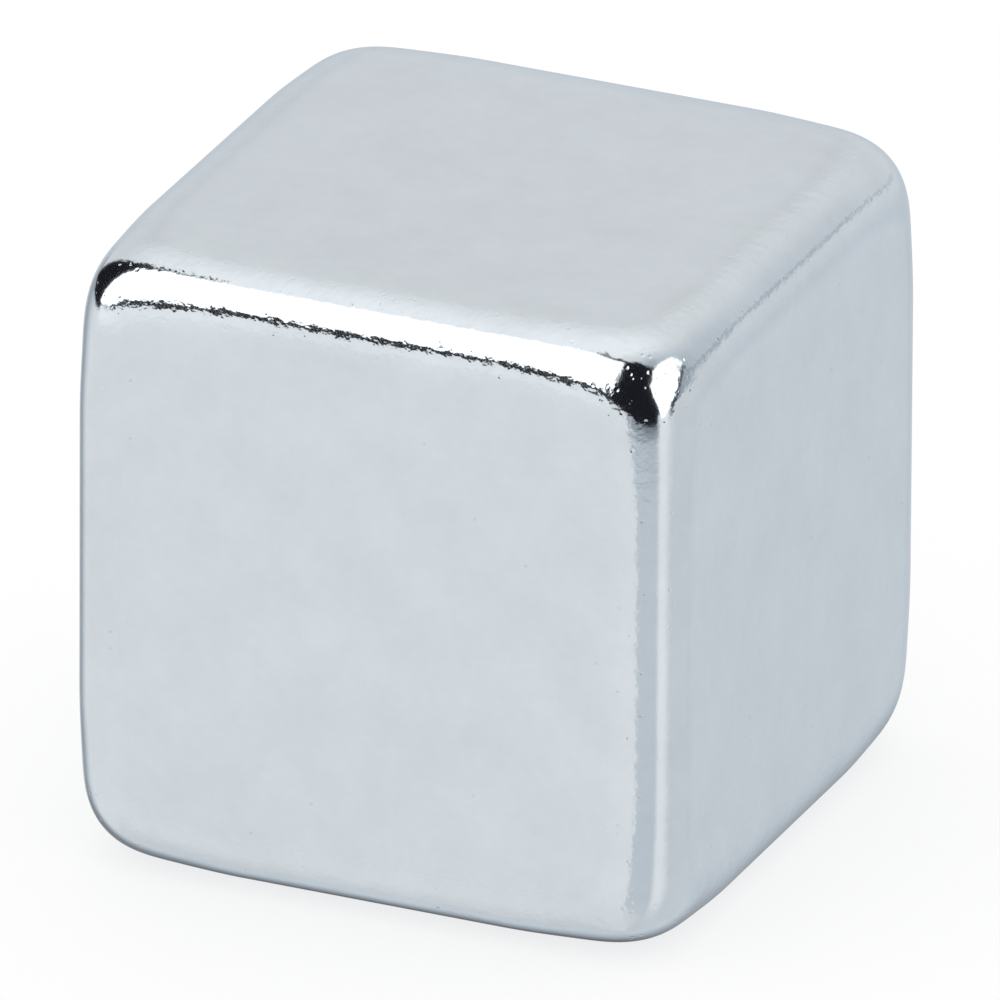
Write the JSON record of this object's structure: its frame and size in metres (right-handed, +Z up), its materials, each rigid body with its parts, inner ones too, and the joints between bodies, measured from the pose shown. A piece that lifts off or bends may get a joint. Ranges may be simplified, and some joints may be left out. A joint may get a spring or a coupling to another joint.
{
  "type": "block magnet",
  "caption": "Cube-shaped sintered rare-earth magnet with bright nickel plating, rolled edges and worn corners.",
  "frame": {"origin": "centre of the bottom face, on the surface that the block rests on", "axes": "+Z up, along the height; +X along the length, towards the right-hand face; -Y is the front face; the frame is centred in X and Y"},
  "size_m": [0.01, 0.01, 0.0101],
  "materials": {
    "nickel_plating": "bright nickel plating, mirror-like on the faces, with small pits along the rolled edges"
  },
  "bodies": {
    "root": {"block_magnet": "nickel_plating"}
  },
  "joints": []
}
